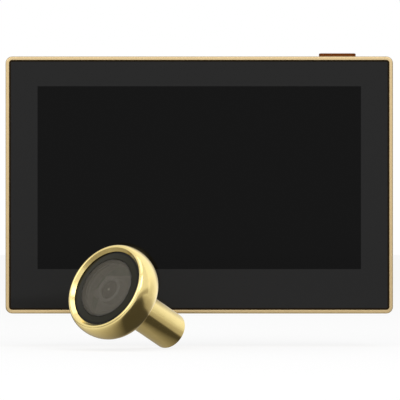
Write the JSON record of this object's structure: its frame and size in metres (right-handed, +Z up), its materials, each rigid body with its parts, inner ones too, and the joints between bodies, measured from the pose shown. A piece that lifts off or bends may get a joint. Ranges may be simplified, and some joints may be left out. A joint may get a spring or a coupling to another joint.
{
  "type": "peephole door camera",
  "caption": "Indoor monitor with a gold band, hooked on a steel door bracket, with a round gold outdoor camera unit whose barrel goes through the door.",
  "frame": {"origin": "middle of the bracket's hole on the face of the door", "axes": "+X right seen from the room, +Y into the door, +Z up"},
  "size_m": [0.1326, 0.0676, 0.1005],
  "materials": {
    "gold_band": "satin gold plating",
    "gold_camera": "polished gold plating",
    "copper_button": "copper anodised",
    "black_glass": "gloss, painted black behind",
    "display": "dark panel, off",
    "sheet_steel": "bare sheet",
    "screw_steel": "zinc plated",
    "black_plastic": "fine moulded grain",
    "dark_plastic": "plain",
    "board": "solder mask",
    "flex_amber": "polyimide film",
    "battery_foil": "foil pouch",
    "rubber": "matte",
    "black_ring": "matte black",
    "smoked_glass": "smoky, coated",
    "lens_glass": "clear"
  },
  "bodies": {
    "bracket": {"door_bracket": "sheet_steel", "bracket_hooks": "sheet_steel"},
    "monitor": {"front_frame": "gold_band", "glass_gasket": "rubber", "cover_glass": "black_glass", "display_panel": "display", "backlight_tray": "sheet_steel", "display_flex": "flex_amber", "display_socket": "dark_plastic", "chassis": "dark_plastic", "main_board": "board", "board_screws": "screw_steel", "processor_shield": "sheet_steel", "board_chips": "dark_plastic", "ribbon_socket": "dark_plastic", "usb_socket": "sheet_steel", "card_socket": "sheet_steel", "power_switch": "dark_plastic", "speaker": "dark_plastic", "microphone": "screw_steel", "battery_pack": "battery_foil", "rear_cover": "black_plastic", "cover_screws": "screw_steel"},
    "power_button": {"power_button": "copper_button", "switch_plunger": "dark_plastic"},
    "camera_unit": {"head_shell": "gold_camera", "window_ring": "black_ring", "lens_window": "smoked_glass", "window_seal": "rubber", "spacer_ring": "dark_plastic", "lens_barrel": "dark_plastic", "lens_front_element": "lens_glass", "lens_rear_element": "lens_glass", "filter_glass": "lens_glass", "lens_holder": "dark_plastic", "holder_screws": "screw_steel", "image_sensor": "dark_plastic", "sensor_board": "board", "lock_nut": "screw_steel", "barrel_tube": "gold_camera", "door_gasket": "rubber", "cable_grommet": "rubber"}
  },
  "joints": [
    {"name": "monitor_unhook", "type": "slide", "parent": "bracket", "child": "monitor", "axis": [0, 0, 1], "range_m": [0, 0.005]},
    {"name": "power_button_press", "type": "slide", "parent": "monitor", "child": "power_button", "axis": [0, 0, -1], "range_m": [0, 0.0006], "stiffness_N_per_m": 2500},
    {"name": "camera_lift", "type": "slide", "parent": "bracket", "child": "camera_unit", "axis": [0, -0.7071, 0.7071], "range_m": [0, 0.08]}
  ]
}
